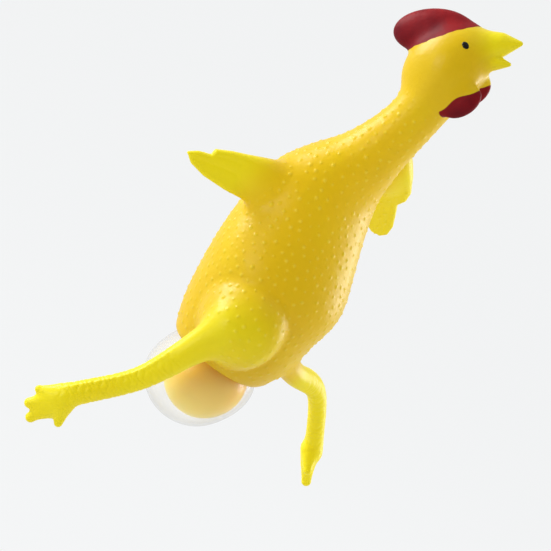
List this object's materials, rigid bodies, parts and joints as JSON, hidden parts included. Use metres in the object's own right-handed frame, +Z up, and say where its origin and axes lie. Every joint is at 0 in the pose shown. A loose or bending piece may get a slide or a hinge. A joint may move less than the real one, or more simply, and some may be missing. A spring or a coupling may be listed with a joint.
{
  "type": "rubber chicken",
  "caption": "Squeeze-toy rubber chicken with flexing neck, wings and legs; squeezing the water-filled torso pushes a clear egg with an orange yolk out of its vent.",
  "frame": {"origin": "middle of the torso, where the hand closes round it", "axes": "+Z up the torso towards the head, +X the way the breast faces, +Y the bird's left"},
  "size_m": [0.0524, 0.1212, 0.1956],
  "materials": {
    "yellow_skin": "soft satin moulding",
    "red_paint": "sprayed paint on the soft moulding",
    "black_paint": "gloss paint dot",
    "clear_film": "clear stretchy film",
    "clear_fluid": "water",
    "orange_yolk": "soft translucent ball"
  },
  "bodies": {
    "torso": {"torso_skin": "yellow_skin", "thigh_right": "yellow_skin", "thigh_left": "yellow_skin", "fluid_sac": "clear_film", "fluid_fill": "clear_fluid", "egg_membrane": "clear_film", "egg_white": "clear_fluid"},
    "neck_lower": {"neck_lower": "yellow_skin"},
    "neck_upper": {"neck_upper": "yellow_skin"},
    "head": {"head_shell": "yellow_skin", "upper_beak": "yellow_skin", "lower_beak": "yellow_skin", "comb": "red_paint", "wattle_right": "red_paint", "wattle_left": "red_paint", "eye_right": "black_paint", "eye_left": "black_paint"},
    "egg": {"yolk": "orange_yolk"},
    "wing_right": {"wing_right": "yellow_skin"},
    "wing_tip_right": {"wing_tip_right": "yellow_skin"},
    "leg_right": {"leg_right": "yellow_skin"},
    "shank_right": {"shank_right": "yellow_skin"},
    "foot_right": {"foot_right": "yellow_skin"},
    "wing_left": {"wing_left": "yellow_skin"},
    "wing_tip_left": {"wing_tip_left": "yellow_skin"},
    "leg_left": {"leg_left": "yellow_skin"},
    "shank_left": {"shank_left": "yellow_skin"},
    "foot_left": {"foot_left": "yellow_skin"}
  },
  "joints": [
    {"name": "neck_bend", "type": "hinge", "parent": "torso", "child": "neck_lower", "pos_m": [-0.0008, 0, 0.043], "axis": [0, 1, 0], "range_deg": [-22, 22], "stiffness_Nm_per_rad": 0.8},
    {"name": "neck_sway", "type": "hinge", "parent": "neck_lower", "child": "neck_upper", "pos_m": [0.0052, 0, 0.059], "axis": [1, 0, 0], "range_deg": [-22, 22], "stiffness_Nm_per_rad": 0.5},
    {"name": "head_nod", "type": "hinge", "parent": "neck_upper", "child": "head", "pos_m": [0.008, 0, 0.075], "axis": [-0.309, 0.9511, 0], "range_deg": [-22, 22], "stiffness_Nm_per_rad": 0.4},
    {"name": "wing_flap_right", "type": "hinge", "parent": "torso", "child": "wing_right", "pos_m": [-0.0106, -0.0232, 0.0236], "axis": [-0.1241, -0.0892, 0.9883], "range_deg": [-30, 34], "stiffness_Nm_per_rad": 0.02},
    {"name": "wing_tip_flex_right", "type": "hinge", "parent": "wing_right", "child": "wing_tip_right", "pos_m": [-0.01755, -0.03403, 0.02175], "axis": [-0.1241, -0.0892, 0.9883], "range_deg": [-32, 32], "stiffness_Nm_per_rad": 0.01},
    {"name": "wing_flap_left", "type": "hinge", "parent": "torso", "child": "wing_left", "pos_m": [-0.0039, 0.0223, 0.045], "axis": [0.5957, 0.5791, 0.5566], "range_deg": [-8, 36], "stiffness_Nm_per_rad": 0.02},
    {"name": "wing_tip_flex_left", "type": "hinge", "parent": "wing_left", "child": "wing_tip_left", "pos_m": [-0.00501, 0.03185, 0.03625], "axis": [0.5957, 0.5791, 0.5566], "range_deg": [-32, 32], "stiffness_Nm_per_rad": 0.01},
    {"name": "leg_swing_right", "type": "hinge", "parent": "torso", "child": "leg_right", "pos_m": [0.0106, -0.026, -0.033], "axis": [1, 0, 0], "range_deg": [-38, 6], "stiffness_Nm_per_rad": 0.1},
    {"name": "shank_flex_right", "type": "hinge", "parent": "leg_right", "child": "shank_right", "pos_m": [0.0039, -0.0326, -0.0515], "axis": [0, 0.8597, -0.5109], "range_deg": [-36, 36], "stiffness_Nm_per_rad": 0.06},
    {"name": "foot_flex_right", "type": "hinge", "parent": "shank_right", "child": "foot_right", "pos_m": [-0.006, -0.043, -0.069], "axis": [0.6997, 0.5452, -0.4618], "range_deg": [-38, 38], "stiffness_Nm_per_rad": 0.03},
    {"name": "leg_swing_left", "type": "hinge", "parent": "torso", "child": "leg_left", "pos_m": [0.012, 0.026, -0.0296], "axis": [1, 0, 0], "range_deg": [-38, 20], "stiffness_Nm_per_rad": 0.1},
    {"name": "shank_flex_left", "type": "hinge", "parent": "leg_left", "child": "shank_left", "pos_m": [0.0108, 0.043, -0.0357], "axis": [0, 0.7399, 0.6727], "range_deg": [-36, 36], "stiffness_Nm_per_rad": 0.06},
    {"name": "foot_flex_left", "type": "hinge", "parent": "shank_left", "child": "foot_left", "pos_m": [0.012, 0.058, -0.0522], "axis": [0.7507, -0.6416, -0.1575], "range_deg": [-38, 38], "stiffness_Nm_per_rad": 0.03},
    {"name": "egg_out", "type": "slide", "parent": "torso", "child": "egg", "axis": [0, 0, -1], "range_m": [-0.03, 0], "deforming": ["egg_membrane", "egg_white", "fluid_fill"]}
  ]
}
